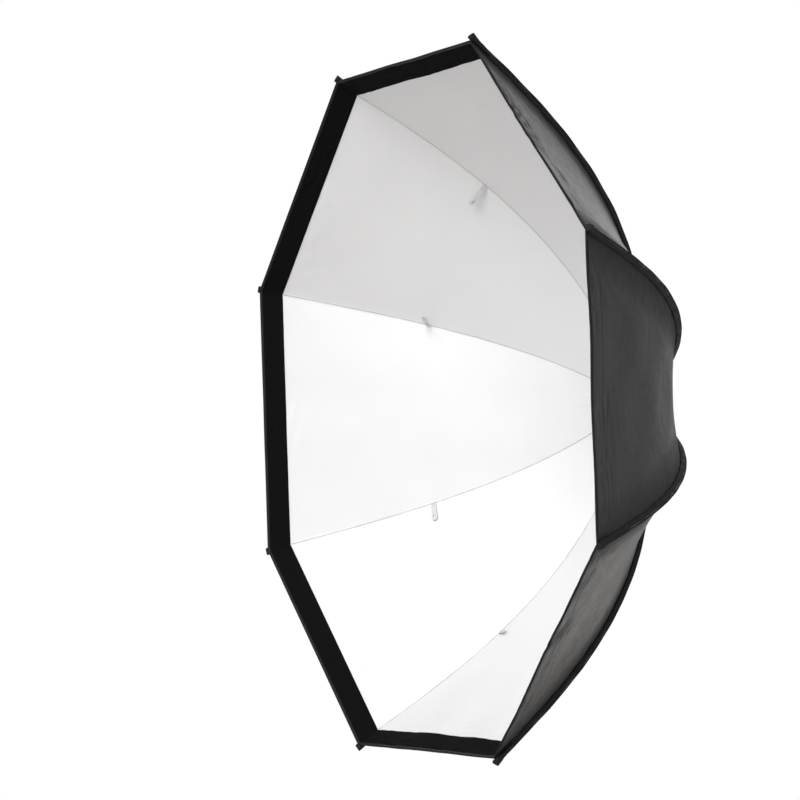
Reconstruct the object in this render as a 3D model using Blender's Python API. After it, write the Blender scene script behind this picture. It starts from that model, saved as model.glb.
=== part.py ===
"""A large octagonal studio softbox on a quick-fold speed ring.

The light's axis is Y. The mouth faces -Y, and the bayonet that the light holds faces +Y.
The origin is the centre of the bayonet adaptor's rear seat. +X is right, seen from behind, and +Z is up.

Eight ribs are hinged round the speed ring. Each one is a holder, a bowed rod, a tip and its share
of the canopy, from the middle of one panel to the middle of the next. A rib's own frame has its
origin on the hinge: X points outward from the light's axis, -Y points forward, and Z is the hinge.
"""

import math

import bmesh
import bpy
from mathutils import Matrix, Vector

# Driving dimensions, in metres and degrees.
RIB_COUNT = 8
FIRST_RIB_ANGLE = 22.5
RIM_RADIUS = 0.750  # centre to a corner of the canopy's front edge

# The bow of a rod: its angle from the light's axis at the ring and at the rim.
RING_ANGLE = math.radians(79.6)
RIM_ANGLE = math.radians(35.1)
BOW_POWER = 1.88
STRAIGHT_LENGTH = 0.055  # the stretch of rod inside its holder
BOW_STEPS = 400

# The speed ring and what turns in it. Y is measured from the bayonet's seat.
OPENING_RADIUS = 0.0435
SEAT_RADIUS = 0.0660
SEAT_FRONT_Y = -0.0050
BOSS_RADIUS = 0.0530
RING_BORE_RADIUS = 0.0535
RING_RADIUS = 0.0700
RING_REAR_Y = -0.0055
RING_FRONT_Y = -0.0265
COLLAR_RADIUS = 0.0460
COLLAR_LENGTH = 0.0105
LUG_RADIUS = 0.0490
LUG_START_Y = 0.0045
LUG_COUNT = 3
LUG_SPAN = 36.0
RETAINER_RADIUS = 0.0590
RETAINER_THICKNESS = 0.0027

# The hinges.
HINGE_RADIUS = 0.0780
HINGE_Y = -0.0155
EYE_RADIUS = 0.0060
EYE_HALF_WIDTH = 0.0050
EAR_RADIUS = 0.0065
EAR_INNER = 0.0055
EAR_OUTER = 0.0090
EAR_ROOT = -0.0100
PIN_RADIUS = 0.0020
PIN_HALF_LENGTH = 0.0096

# The ribs.
HOLDER_RADIUS = 0.0055
HOLDER_LENGTH = 0.0550
SOCKET_START = 0.0160
ROD_RADIUS = 0.0025
ROD_SHORT_OF_CORNER = 0.0040
TIP_RADIUS = 0.0045
TIP_BEHIND_CORNER = 0.0150
TIP_LENGTH = 0.0190
TIP_SOCKET = 0.0120

# The canopy, which hangs inside the rods by its sleeves.
FABRIC_THICKNESS = 0.0015
SLEEVE_OFFSET = 0.0065  # rod centreline to the fabric's outer face
CANOPY_START = 0.0220  # where the fabric begins, along the rod from the hinge
PANEL_SAG = 0.0160  # how far a stretched panel's middle pulls in
CANOPY_ROWS = 14
COLUMNS_PER_HALF = 2

# The ribbon tabs that hold an inner diffuser.
TAB_FROM_RIM = 0.385
TAB_LENGTH = 0.055
TAB_WIDTH = 0.012
TAB_THICKNESS = 0.0010
TAB_CLEARANCE = 0.0035  # lining to the middle of the tab's sewn end
TAB_SWINGS = [-30, -12, 36, -33, 62, 56, -50, -60]  # degrees that each limp tab leans about its seam

# The release catches and the knob that locks the turning ring.
CATCH_INNER = 0.0602
CATCH_OUTER = 0.0675
CATCH_HALF_WIDTH = 0.0045
CATCH_REAR_Y = -0.0215
CATCH_FRONT_Y = -0.0295
POCKET_REAR_Y = -0.0180
KNOB_ANGLE = 90.0
KNOB_SHAFT_RADIUS = 0.0030
KNOB_HEAD_RADIUS = 0.0095
KNOB_HEAD_START = 0.0708
KNOB_HEAD_END = 0.0880
KNOB_LOBES = 8

GAP = 0.0003  # between pieces that touch on the real object
HALF_PANEL = math.pi / RIB_COUNT

MATERIALS = {
    "black_metal": ((0.022, 0.022, 0.024), 0.42, 0.9),
    "satin_aluminium": ((0.60, 0.61, 0.62), 0.35, 1.0),
    "steel": ((0.55, 0.55, 0.56), 0.28, 1.0),
    "black_plastic": ((0.020, 0.020, 0.021), 0.48, 0.0),
    "red_plastic": ((0.36, 0.020, 0.018), 0.40, 0.0),
    "rod_black": ((0.030, 0.030, 0.032), 0.35, 0.0),
    "canopy_fabric": ((0.055, 0.055, 0.057), 0.80, 0.0),
    "white_ribbon": ((0.80, 0.80, 0.80), 0.70, 0.0),
}


def clear_scene():
    for obj in list(bpy.data.objects):
        bpy.data.objects.remove(obj, do_unlink=True)


def make_materials():
    made = {}
    for name, (colour, roughness, metallic) in MATERIALS.items():
        material = bpy.data.materials.new(name)
        material.use_nodes = True
        shader = material.node_tree.nodes["Principled BSDF"]
        shader.inputs["Base Color"].default_value = (*colour, 1.0)
        shader.inputs["Roughness"].default_value = roughness
        shader.inputs["Metallic"].default_value = metallic
        made[name] = material
    return made


def rib_angle(number):
    """The rib's direction round the light's axis, from +X towards +Z, in radians."""
    return math.radians(FIRST_RIB_ANGLE + (number - 1) * 360 / RIB_COUNT)


# The bow of the rods.


def bow_angle(arc, length):
    """The rod's angle from the light's axis, a distance arc along it from the hinge."""
    share = min(max((arc - STRAIGHT_LENGTH) / (length - STRAIGHT_LENGTH), 0.0), 1.0)
    return RIM_ANGLE + (RING_ANGLE - RIM_ANGLE) * (1 - share) ** BOW_POWER


def rod_point(arc, length):
    """(outward, forward) of the rod's centreline from the hinge."""
    outward = forward = 0.0
    step = arc / BOW_STEPS
    for i in range(BOW_STEPS):
        angle = bow_angle((i + 0.5) * step, length)
        outward += step * math.sin(angle)
        forward += step * math.cos(angle)
    return outward, forward


def fitted_rod_length():
    """The length along the rod at which the fabric inside it reaches the rim's corner."""
    wanted = RIM_RADIUS + SLEEVE_OFFSET * math.cos(RIM_ANGLE) - HINGE_RADIUS
    length = wanted
    for _ in range(12):
        length += (wanted - rod_point(length, length)[0]) / math.sin(RIM_ANGLE)
    return length


ROD_LENGTH = fitted_rod_length()


def seam_point(arc):
    """(outward, forward) from the hinge of the fabric's outer face, just inside the rod."""
    outward, forward = rod_point(arc, ROD_LENGTH)
    angle = bow_angle(arc, ROD_LENGTH)
    return outward - SLEEVE_OFFSET * math.cos(angle), forward + SLEEVE_OFFSET * math.sin(angle)


# Basic shapes.


def finished_mesh(name, bm):
    """Turns the bmesh into a mesh whose faces all point out, smooth on its round stretches."""
    bmesh.ops.recalc_face_normals(bm, faces=bm.faces)
    mesh = bpy.data.meshes.new(name)
    bm.to_mesh(mesh)
    bm.free()
    mesh.shade_smooth()
    mesh.set_sharp_from_angle(angle=math.radians(35))
    return mesh


def lathe(name, profile, segments, axis="Y"):
    """Turns the closed profile of (radius, height) points round an axis through the origin."""
    bm = bmesh.new()
    rings = []
    for i in range(segments):
        turn = 2 * math.pi * i / segments
        ring = []
        for radius, height in profile:
            across = Vector((radius * math.cos(turn), height, radius * math.sin(turn)))
            if axis == "X":
                across = Vector((height, across.x, across.z))
            ring.append(bm.verts.new(across))
        rings.append(ring)
    for ring, following in zip(rings, rings[1:] + rings[:1]):
        for i in range(len(profile)):
            j = (i + 1) % len(profile)
            bm.faces.new((ring[i], ring[j], following[j], following[i]))
    bmesh.ops.remove_doubles(bm, verts=bm.verts, dist=1e-6)
    return finished_mesh(name, bm)


def add_prism(bm, outline, low, high, place=None):
    """Adds the outline of (x, y) points, extruded in Z from low to high, then moved by place."""
    bottom = [bm.verts.new((x, y, low)) for x, y in outline]
    top = [bm.verts.new((x, y, high)) for x, y in outline]
    bm.faces.new(bottom)
    bm.faces.new(top[::-1])
    count = len(outline)
    for i in range(count):
        j = (i + 1) % count
        bm.faces.new((bottom[i], top[i], top[j], bottom[j]))
    if place is not None:
        bmesh.ops.transform(bm, matrix=place, verts=bottom + top)


def prisms(name, parts):
    """One mesh of several prisms, each (outline, low, high, place)."""
    bm = bmesh.new()
    for outline, low, high, place in parts:
        add_prism(bm, outline, low, high, place)
    return finished_mesh(name, bm)


def circle(radius, segments, centre=(0.0, 0.0), start=0.0, end=2 * math.pi):
    """Points on an arc. A full circle leaves out its last point, which is its first."""
    full = abs(end - start - 2 * math.pi) < 1e-9
    steps = range(segments if full else segments + 1)
    turns = [start + (end - start) * i / segments for i in steps]
    return [(centre[0] + radius * math.cos(t), centre[1] + radius * math.sin(t)) for t in turns]


def rectangle(low_x, high_x, low_y, high_y):
    return [(low_x, low_y), (high_x, low_y), (high_x, high_y), (low_x, high_y)]


def combined(base, joins=(), cuts=()):
    """The base mesh with the other meshes joined on and then cut away."""
    carrier = bpy.data.objects.new("working_shape", base)
    bpy.context.scene.collection.objects.link(carrier)
    helpers = []
    for operation, shapes in (("UNION", joins), ("DIFFERENCE", cuts)):
        for shape in shapes:
            helper = bpy.data.objects.new("working_tool", shape)
            helper.hide_render = True
            helper.display_type = "WIRE"
            bpy.context.scene.collection.objects.link(helper)
            modifier = carrier.modifiers.new(operation.lower(), "BOOLEAN")
            modifier.operation = operation
            modifier.solver = "EXACT"
            modifier.object = helper
            helpers.append(helper)
    bpy.context.view_layer.update()
    graph = bpy.context.evaluated_depsgraph_get()
    result = bpy.data.meshes.new_from_object(carrier.evaluated_get(graph))
    for helper in [carrier] + helpers:
        bpy.data.objects.remove(helper, do_unlink=True)
    result.shade_smooth()
    result.set_sharp_from_angle(angle=math.radians(35))
    return result


def place_object(name, mesh, material, parent=None):
    obj = bpy.data.objects.new(name, mesh)
    bpy.context.scene.collection.objects.link(obj)
    obj.parent = parent
    if mesh.materials:
        mesh.materials[0] = material
    else:
        mesh.materials.append(material)
    return obj


def rib_matrix(number):
    """The rib's own frame, with its origin on the hinge."""
    angle = rib_angle(number)
    hinge = (HINGE_RADIUS * math.cos(angle), HINGE_Y, HINGE_RADIUS * math.sin(angle))
    return Matrix.Translation(hinge) @ Matrix.Rotation(-angle, 4, "Y")


def rib_pivot(number):
    pivot = bpy.data.objects.new(f"rib_pivot_{number}", None)
    bpy.context.scene.collection.objects.link(pivot)
    pivot.matrix_world = rib_matrix(number)
    pivot.empty_display_size = 0.02
    return pivot


# The speed ring and the bayonet adaptor that turns in it.


def adaptor_mesh():
    """Collar, seat and boss in one turning, with three bayonet lugs joined to the collar."""
    profile = [
        (OPENING_RADIUS, COLLAR_LENGTH),
        (COLLAR_RADIUS, COLLAR_LENGTH),
        (COLLAR_RADIUS, 0.0),
        (SEAT_RADIUS, 0.0),
        (SEAT_RADIUS, SEAT_FRONT_Y),
        (BOSS_RADIUS, SEAT_FRONT_Y),
        (BOSS_RADIUS, RING_FRONT_Y - GAP),
        (OPENING_RADIUS, RING_FRONT_Y - GAP),
    ]
    body = lathe("bayonet_adaptor", profile, 48)
    inner = (OPENING_RADIUS + COLLAR_RADIUS) / 2
    stand_up = Matrix.Rotation(math.radians(-90), 4, "X")
    lugs = []
    for number in range(LUG_COUNT):
        middle = math.radians(90 + number * 360 / LUG_COUNT)
        half = math.radians(LUG_SPAN / 2)
        outline = circle(LUG_RADIUS, 5, start=middle - half, end=middle + half)
        outline += circle(inner, 5, start=middle + half, end=middle - half)
        lugs.append((outline, LUG_START_Y, COLLAR_LENGTH - GAP, stand_up))
    return combined(body, joins=[prisms("lugs", lugs)])


def speed_ring_mesh():
    """The ring with sixteen hinge ears, eight catch pockets and the knob's hole."""
    profile = [
        (RING_BORE_RADIUS, RING_REAR_Y),
        (RING_RADIUS - 0.0015, RING_REAR_Y),
        (RING_RADIUS, RING_REAR_Y - 0.0015),
        (RING_RADIUS, RING_FRONT_Y + 0.0015),
        (RING_RADIUS - 0.0015, RING_FRONT_Y),
        (RING_BORE_RADIUS, RING_FRONT_Y),
    ]
    body = lathe("speed_ring", profile, 64)
    ear = circle(EAR_RADIUS, 6, start=-math.pi / 2, end=math.pi / 2)
    ear += [(EAR_ROOT, EAR_RADIUS), (EAR_ROOT, -EAR_RADIUS)]
    hole = circle(PIN_RADIUS + GAP, 10)
    pocket_low = CATCH_INNER - GAP
    pocket_high = CATCH_OUTER + GAP
    pocket_side = CATCH_HALF_WIDTH + GAP
    ears = []
    holes = []
    pockets = []
    for number in range(1, RIB_COUNT + 1):
        frame = rib_matrix(number)
        ears.append((ear, EAR_INNER, EAR_OUTER, frame))
        ears.append((ear, -EAR_OUTER, -EAR_INNER, frame))
        holes.append((hole, -0.012, 0.012, frame))
        turn = Matrix.Rotation(-rib_angle(number), 4, "Y")
        outline = rectangle(pocket_low, pocket_high, RING_FRONT_Y - 0.003, POCKET_REAR_Y)
        pockets.append((outline, -pocket_side, pocket_side, turn))
    knob_hole = lathe_shaft("knob_hole", KNOB_SHAFT_RADIUS + GAP, 0.050, 0.074, 12)
    cuts = [prisms("pin_holes", holes), prisms("pockets", pockets), knob_hole]
    return combined(body, joins=[prisms("ears", ears)], cuts=cuts)


def lathe_shaft(name, radius, low, high, segments):
    """A plain round bar along the knob's direction, at the hinges' height on the ring."""
    bm = bmesh.new()
    lay_out = Matrix.Rotation(math.radians(90), 4, "Y")
    along = Matrix.Rotation(-math.radians(KNOB_ANGLE), 4, "Y")
    place = Matrix.Translation((0, HINGE_Y, 0)) @ along @ lay_out
    add_prism(bm, circle(radius, segments), low, high, place)
    return finished_mesh(name, bm)


def retaining_ring_mesh():
    front = RING_FRONT_Y - 2 * GAP - RETAINER_THICKNESS
    rear = RING_FRONT_Y - 2 * GAP
    profile = [
        (OPENING_RADIUS, rear),
        (RETAINER_RADIUS, rear),
        (RETAINER_RADIUS, front + 0.0008),
        (RETAINER_RADIUS - 0.0008, front),
        (OPENING_RADIUS, front),
    ]
    return lathe("retaining_ring", profile, 48)


def knob_mesh():
    """A fluted thumb screw. Its own Z runs along the screw, outward from the light's axis."""
    bm = bmesh.new()
    tip = BOSS_RADIUS + GAP
    add_prism(bm, circle(KNOB_SHAFT_RADIUS, 12), tip, KNOB_HEAD_START + 0.002)
    shaft = finished_mesh("knob_shaft", bm)
    flutes = []
    for i in range(KNOB_LOBES * 4):
        turn = 2 * math.pi * i / (KNOB_LOBES * 4)
        radius = KNOB_HEAD_RADIUS + 0.0008 * math.cos(KNOB_LOBES * turn)
        flutes.append((radius * math.cos(turn), radius * math.sin(turn)))
    head = prisms("knob_head", [(flutes, KNOB_HEAD_START, KNOB_HEAD_END, None)])
    return combined(shaft, joins=[head])


def catch_mesh():
    """A push block with a dished front, in the frame of a rib whose angle is zero, on the light's axis."""
    middle = (CATCH_INNER + CATCH_OUTER) / 2
    rim = 0.0007
    outline = [
        (CATCH_INNER, CATCH_REAR_Y),
        (CATCH_OUTER, CATCH_REAR_Y),
        (CATCH_OUTER, CATCH_FRONT_Y + rim),
        (CATCH_OUTER - rim, CATCH_FRONT_Y),
        (middle, CATCH_FRONT_Y + rim),
        (CATCH_INNER + rim, CATCH_FRONT_Y),
        (CATCH_INNER, CATCH_FRONT_Y + rim),
    ]
    return prisms("release_catch", [(outline, -CATCH_HALF_WIDTH, CATCH_HALF_WIDTH, None)])


# One rib, in its own frame.


def along_holder():
    """Turns +X to the direction of the holder, which leans forward from straight out."""
    return Matrix.Rotation(-(math.pi / 2 - RING_ANGLE), 4, "Z")


def holder_mesh():
    """The hinge eye and arm, with a round socket for the rod."""
    lean = along_holder()
    arm = [(0.0200, -EYE_HALF_WIDTH), (0.0200, EYE_HALF_WIDTH)]
    eye = circle(EYE_RADIUS, 8, start=math.radians(65), end=math.radians(295)) + arm
    body = prisms("rod_holder", [(eye, -EYE_HALF_WIDTH, EYE_HALF_WIDTH, lean)])
    barrel_profile = [
        (0.0, 0.0140),
        (HOLDER_RADIUS, 0.0140),
        (HOLDER_RADIUS, HOLDER_LENGTH - 0.0010),
        (HOLDER_RADIUS - 0.0010, HOLDER_LENGTH),
        (0.0, HOLDER_LENGTH),
    ]
    barrel = lathe("barrel", barrel_profile, 14, axis="X")
    barrel.transform(lean)
    socket_profile = [
        (0.0, SOCKET_START),
        (ROD_RADIUS + GAP, SOCKET_START),
        (ROD_RADIUS + GAP, HOLDER_LENGTH + 0.002),
        (0.0, HOLDER_LENGTH + 0.002),
    ]
    socket = lathe("socket", socket_profile, 10, axis="X")
    socket.transform(lean)
    hole = prisms("eye_hole", [(circle(PIN_RADIUS + GAP, 10), -0.012, 0.012, None)])
    return combined(body, joins=[barrel], cuts=[socket, hole])


def pin_mesh():
    return prisms("hinge_pin", [(circle(PIN_RADIUS, 10), -PIN_HALF_LENGTH, PIN_HALF_LENGTH, None)])


def rod_curve():
    """The bowed rod, from the bottom of its socket to just inside its tip."""
    curve = bpy.data.curves.new("rod", "CURVE")
    curve.dimensions = "3D"
    curve.bevel_depth = ROD_RADIUS
    curve.bevel_resolution = 1
    curve.use_fill_caps = True
    bowed_length = ROD_LENGTH - ROD_SHORT_OF_CORNER - STRAIGHT_LENGTH
    arcs = [SOCKET_START + GAP] + [STRAIGHT_LENGTH + bowed_length * i / 14 for i in range(15)]
    spline = curve.splines.new("POLY")
    spline.points.add(len(arcs) - 1)
    for point, arc in zip(spline.points, arcs):
        outward, forward = rod_point(arc, ROD_LENGTH)
        point.co = (outward, -forward, 0.0, 1.0)
    return curve


def tip_mesh():
    """The blunt cap on the rod's end, which sits in a pocket at the canopy's corner."""
    start = ROD_LENGTH - TIP_BEHIND_CORNER
    profile = [
        (0.0, TIP_SOCKET),
        (ROD_RADIUS + GAP, TIP_SOCKET),
        (ROD_RADIUS + GAP, 0.0),
        (TIP_RADIUS, 0.0),
        (TIP_RADIUS, TIP_LENGTH - 0.003),
        (TIP_RADIUS * 0.55, TIP_LENGTH),
        (0.0, TIP_LENGTH),
    ]
    mesh = lathe("rod_tip", profile, 10, axis="X")
    outward, forward = rod_point(start, ROD_LENGTH)
    lean = Matrix.Rotation(-(math.pi / 2 - RIM_ANGLE), 4, "Z")
    mesh.transform(Matrix.Translation((outward, -forward, 0)) @ lean)
    return mesh


def panel_point(arc, across):
    """A point on the outer face in the rib's frame. across runs from 0 on the rib to 1 in mid-panel."""
    outward, forward = seam_point(arc)
    radius = HINGE_RADIUS + outward
    chord_middle = radius * math.cos(HALF_PANEL)
    share = (arc - CANOPY_START) / (ROD_LENGTH - CANOPY_START)
    sag = PANEL_SAG * math.sin(math.pi * share) * (1 - (1 - across) ** 2)
    lean = bow_angle(arc, ROD_LENGTH)
    from_middle = radius * math.sin(HALF_PANEL) * (1 - across)
    from_middle = max(from_middle, GAP / 2)
    panel_out = chord_middle - sag * math.cos(lean)
    ahead = forward + sag * math.sin(lean)
    x = panel_out * math.cos(HALF_PANEL) + from_middle * math.sin(HALF_PANEL)
    z = panel_out * math.sin(HALF_PANEL) - from_middle * math.cos(HALF_PANEL)
    return Vector((x - HINGE_RADIUS, -ahead, z))


def canopy_mesh():
    """One rib's share of the canopy, open in the middle of each panel beside it, as a single sheet."""
    bm = bmesh.new()
    columns = range(-COLUMNS_PER_HALF, COLUMNS_PER_HALF + 1)
    rows = []
    for i in range(CANOPY_ROWS + 1):
        arc = CANOPY_START + (ROD_LENGTH - CANOPY_START) * i / CANOPY_ROWS
        row = []
        for column in columns:
            point = panel_point(arc, abs(column) / COLUMNS_PER_HALF)
            side = -1 if column < 0 else 1
            row.append(bm.verts.new((point.x, point.y, side * point.z)))
        rows.append(row)
    for row, following in zip(rows, rows[1:]):
        for i in range(len(row) - 1):
            bm.faces.new((row[i], row[i + 1], following[i + 1], following[i]))
    mesh = bpy.data.meshes.new("canopy_panel")
    bm.to_mesh(mesh)
    bm.free()
    mesh.shade_smooth()
    return mesh


def add_canopy(name, mesh, material, pivot):
    obj = place_object(name, mesh, material, pivot)
    solidify = obj.modifiers.new("fabric_thickness", "SOLIDIFY")
    solidify.thickness = FABRIC_THICKNESS
    solidify.offset = -1.0 if mesh.polygons[0].normal.y > 0 else 1.0
    solidify.use_even_offset = True
    return obj


def tab_mesh(number):
    """A ribbon with a rounded end, sewn to the seam and leaning to one side of it."""
    arc = ROD_LENGTH - TAB_FROM_RIM
    angle = bow_angle(arc, ROD_LENGTH)
    outward, forward = seam_point(arc)
    inward = Vector((-math.cos(angle), -math.sin(angle), 0.0))
    base = Vector((outward, -forward, 0.0)) + inward * (FABRIC_THICKNESS + TAB_CLEARANCE)
    rod_direction = Vector((math.sin(angle), -math.cos(angle), 0.0))
    swing = math.radians(TAB_SWINGS[number - 1])
    along = math.cos(swing) * inward + math.sin(swing) * Vector((0.0, 0.0, 1.0))
    flat = along.cross(rod_direction).normalized()
    wide = flat.cross(along).normalized()
    frame = Matrix((along, wide, flat)).transposed().to_4x4()
    half = TAB_WIDTH / 2
    end = circle(half, 4, centre=(TAB_LENGTH - half, 0.0), start=-math.pi / 2, end=math.pi / 2)
    outline = [(0.0, half), (0.0, -half)] + end
    place = Matrix.Translation(base) @ frame
    thick = TAB_THICKNESS / 2
    return prisms("diffuser_tab", [(outline, -thick, thick, place)])


def build_ring(materials):
    place_object("bayonet_adaptor", adaptor_mesh(), materials["satin_aluminium"])
    place_object("retaining_ring", retaining_ring_mesh(), materials["black_metal"])
    place_object("speed_ring", speed_ring_mesh(), materials["black_metal"])
    knob = place_object("rotation_lock_knob", knob_mesh(), materials["black_plastic"])
    knob.location = (0.0, HINGE_Y, 0.0)
    knob.rotation_euler = (0.0, math.radians(90 - KNOB_ANGLE), 0.0)


def build_ribs(materials):
    holder = holder_mesh()
    pin = pin_mesh()
    rod = rod_curve()
    tip = tip_mesh()
    canopy = canopy_mesh()
    catch = catch_mesh()
    for number in range(1, RIB_COUNT + 1):
        pivot = rib_pivot(number)
        place_object(f"rod_holder_{number}", holder, materials["black_metal"], pivot)
        place_object(f"rod_{number}", rod, materials["rod_black"], pivot)
        place_object(f"rod_tip_{number}", tip, materials["black_plastic"], pivot)
        add_canopy(f"canopy_panel_{number}", canopy, materials["canopy_fabric"], pivot)
        tab = tab_mesh(number)
        place_object(f"diffuser_tab_{number}", tab, materials["white_ribbon"], pivot)
        fixed_pin = place_object(f"hinge_pin_{number}", pin, materials["steel"])
        fixed_pin.matrix_world = rib_matrix(number)
        button = place_object(f"release_catch_{number}", catch, materials["red_plastic"])
        button.rotation_euler = (0.0, -rib_angle(number), 0.0)


def main():
    clear_scene()
    materials = make_materials()
    build_ring(materials)
    build_ribs(materials)


main()
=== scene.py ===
"""The looks of a large octagonal studio softbox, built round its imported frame.

The light's axis is Y, the mouth faces -Y and +Z is up. Eight ribs fold on the speed ring. Each rib
carries its share of the canopy, from the middle of one panel to the middle of the next, so the cloth
here is made in eight such shares. Their surfaces come from one formula for each whole panel, which
makes the joins in mid-panel disappear. A panel's number is that of the rib it starts from.
"""

import math

import bmesh
import bpy
import numpy as np
from mathutils import Matrix, Vector


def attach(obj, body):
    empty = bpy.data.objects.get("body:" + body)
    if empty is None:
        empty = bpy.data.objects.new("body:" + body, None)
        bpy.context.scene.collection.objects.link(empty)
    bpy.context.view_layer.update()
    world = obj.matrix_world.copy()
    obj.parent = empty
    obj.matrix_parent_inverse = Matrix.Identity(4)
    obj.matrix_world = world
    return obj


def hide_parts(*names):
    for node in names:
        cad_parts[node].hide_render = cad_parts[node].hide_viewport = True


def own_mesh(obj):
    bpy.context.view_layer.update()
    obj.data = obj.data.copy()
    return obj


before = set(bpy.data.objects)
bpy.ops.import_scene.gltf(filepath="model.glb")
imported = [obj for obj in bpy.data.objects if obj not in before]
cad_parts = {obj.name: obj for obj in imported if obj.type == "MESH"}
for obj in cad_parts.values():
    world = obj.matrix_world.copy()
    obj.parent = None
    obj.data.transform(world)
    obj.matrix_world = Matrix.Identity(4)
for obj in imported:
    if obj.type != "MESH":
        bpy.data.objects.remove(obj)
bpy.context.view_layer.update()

# The design's driving dimensions, in metres and radians, as in the frame.
RIB_COUNT = 8
FIRST_RIB_ANGLE = math.radians(22.5)
HALF_PANEL = math.pi / RIB_COUNT
RIM_RADIUS = 0.750
RING_ANGLE = math.radians(79.6)
RIM_ANGLE = math.radians(35.1)
BOW_POWER = 1.88
STRAIGHT_LENGTH = 0.055
HINGE_RADIUS = 0.0780
HINGE_Y = -0.0155
SLEEVE_OFFSET = 0.0065
CANOPY_START = 0.0220
PANEL_SAG = 0.0160
ROD_RADIUS = 0.0025
ROD_START = 0.0163
ROD_SHORT_OF_CORNER = 0.0040
TAB_FROM_RIM = 0.385
TAB_LENGTH = 0.055
TAB_WIDTH = 0.012
TAB_SWINGS = [-30, -12, 36, -33, 62, 56, -50, -60]  # degrees that each limp tab leans about its seam
FOLD_ANGLE = math.radians(50)

# Shares of the cloth's width between the rods, for the folded canopy. The backing sheets are cut to keep
# more of it, so that they fill the gaps between the shares of the shell behind the folded canopy's waist.
CLOTH_KEEP = 0.24
REAR_KEEP = 0.70
MIDDLE_KEEP = 0.50

# The layers of cloth, measured inward from the canopy's outer face.
SHELL_LAYER = (0.0, 0.00045)
BACKING_LAYER = (0.00062, 0.00080)
LINING_LAYER = (0.00098, 0.00135)
BAND_LAYER = (0.00145, 0.00270)
BAND_WIDTH = 0.0515

SLEEVE_START = 0.112
SLEEVE_HALF_WIDTH = 0.0070


# The shape of the rods and of the panels between them.


def bow_angle(arc, length):
    share = np.clip((np.asarray(arc, float) - STRAIGHT_LENGTH) / (length - STRAIGHT_LENGTH), 0.0, 1.0)
    return RIM_ANGLE + (RING_ANGLE - RIM_ANGLE) * (1 - share) ** BOW_POWER


def bow_table(length, steps=4000):
    """Distances along a rod of that length, with how far out and how far forward each one is."""
    arcs = np.linspace(0.0, length, steps + 1)
    angles = bow_angle((arcs[1:] + arcs[:-1]) / 2, length)
    step = length / steps
    outward = np.concatenate([[0.0], np.cumsum(step * np.sin(angles))])
    forward = np.concatenate([[0.0], np.cumsum(step * np.cos(angles))])
    return arcs, outward, forward


def fitted_bow():
    """The rod's length and table for which the cloth inside it reaches the rim's corner."""
    wanted = RIM_RADIUS + SLEEVE_OFFSET * math.cos(RIM_ANGLE) - HINGE_RADIUS
    length = wanted
    for _ in range(12):
        length += (wanted - bow_table(length)[1][-1]) / math.sin(RIM_ANGLE)
    return length, bow_table(length)


ROD_LENGTH, (BOW_ARCS, BOW_OUT, BOW_FORWARD) = fitted_bow()


def rod_at(arc):
    """(outward, forward) of the rod's centreline from the hinge, and straight on past its length."""
    arc = np.asarray(arc, float)
    bowed = np.clip(arc, 0.0, ROD_LENGTH)
    past = arc - bowed
    outward = np.interp(bowed, BOW_ARCS, BOW_OUT) + past * math.sin(RIM_ANGLE)
    forward = np.interp(bowed, BOW_ARCS, BOW_FORWARD) + past * math.cos(RIM_ANGLE)
    return outward, forward


def rib_angle(rib):
    return FIRST_RIB_ANGLE + (rib - 1) * 2 * HALF_PANEL


def rib_directions(rib):
    """Unit vectors of a rib: outward, along its hinge, and backward."""
    angle = rib_angle(rib)
    outward = np.array([math.cos(angle), 0.0, math.sin(angle)])
    along_hinge = np.array([-math.sin(angle), 0.0, math.cos(angle)])
    return outward, along_hinge, np.array([0.0, 1.0, 0.0])


def around_rod(rib, arc, sideways, height):
    """Points beside a rib's rod: sideways along the hinge, and height away from the light's axis."""
    outward, along_hinge, backward = rib_directions(rib)
    arc, sideways, height = np.broadcast_arrays(arc, sideways, height)
    out, ahead = rod_at(arc)
    lean = bow_angle(arc, ROD_LENGTH)
    radius = HINGE_RADIUS + out + height * np.cos(lean)
    depth = HINGE_Y - ahead + height * np.sin(lean)
    points = radius[..., None] * outward + sideways[..., None] * along_hinge
    return points + depth[..., None] * backward


def seam_radius(arc):
    """The distance of the cloth's outer face from the light's axis, on a rib."""
    return HINGE_RADIUS + rod_at(arc)[0] - SLEEVE_OFFSET * np.cos(bow_angle(arc, ROD_LENGTH))


def half_chord(arc):
    return seam_radius(arc) * math.sin(HALF_PANEL)


def backing_reach(arc, keep):
    """How far a backing sheet goes toward mid-panel, so that it meets its neighbour once folded."""
    forward = rod_at(arc)[1] + SLEEVE_OFFSET * np.sin(bow_angle(arc, ROD_LENGTH))
    turned_in = (seam_radius(arc) - HINGE_RADIUS) * math.cos(FOLD_ANGLE) - forward * math.sin(FOLD_ANGLE)
    slope = math.tan(HALF_PANEL)
    sideways = keep * math.sin(HALF_PANEL) * math.cos(HALF_PANEL)
    inward = slope * math.sin(HALF_PANEL) ** 2 * math.cos(FOLD_ANGLE)
    return np.minimum((HINGE_RADIUS + turned_in) * slope / (seam_radius(arc) * (sideways + inward)), 1.0)


def waves(seed, x, y, shortest, longest, count):
    """A smooth random field of x and y, about -1 to 1, with wavelengths in that range in metres."""
    random = np.random.default_rng(seed)
    total = 0.0
    for _ in range(count):
        turn = random.uniform(0, math.pi)
        length = random.uniform(shortest, longest)
        phase = random.uniform(0, 2 * math.pi)
        total = total + np.sin(2 * math.pi * (x * math.cos(turn) + y * math.sin(turn)) / length + phase)
    return total / math.sqrt(2 * count)


PANEL_SLACK = {1: 1.8, 7: 1.5, 8: 0.8}  # how much more or less a panel creases than the others


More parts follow.
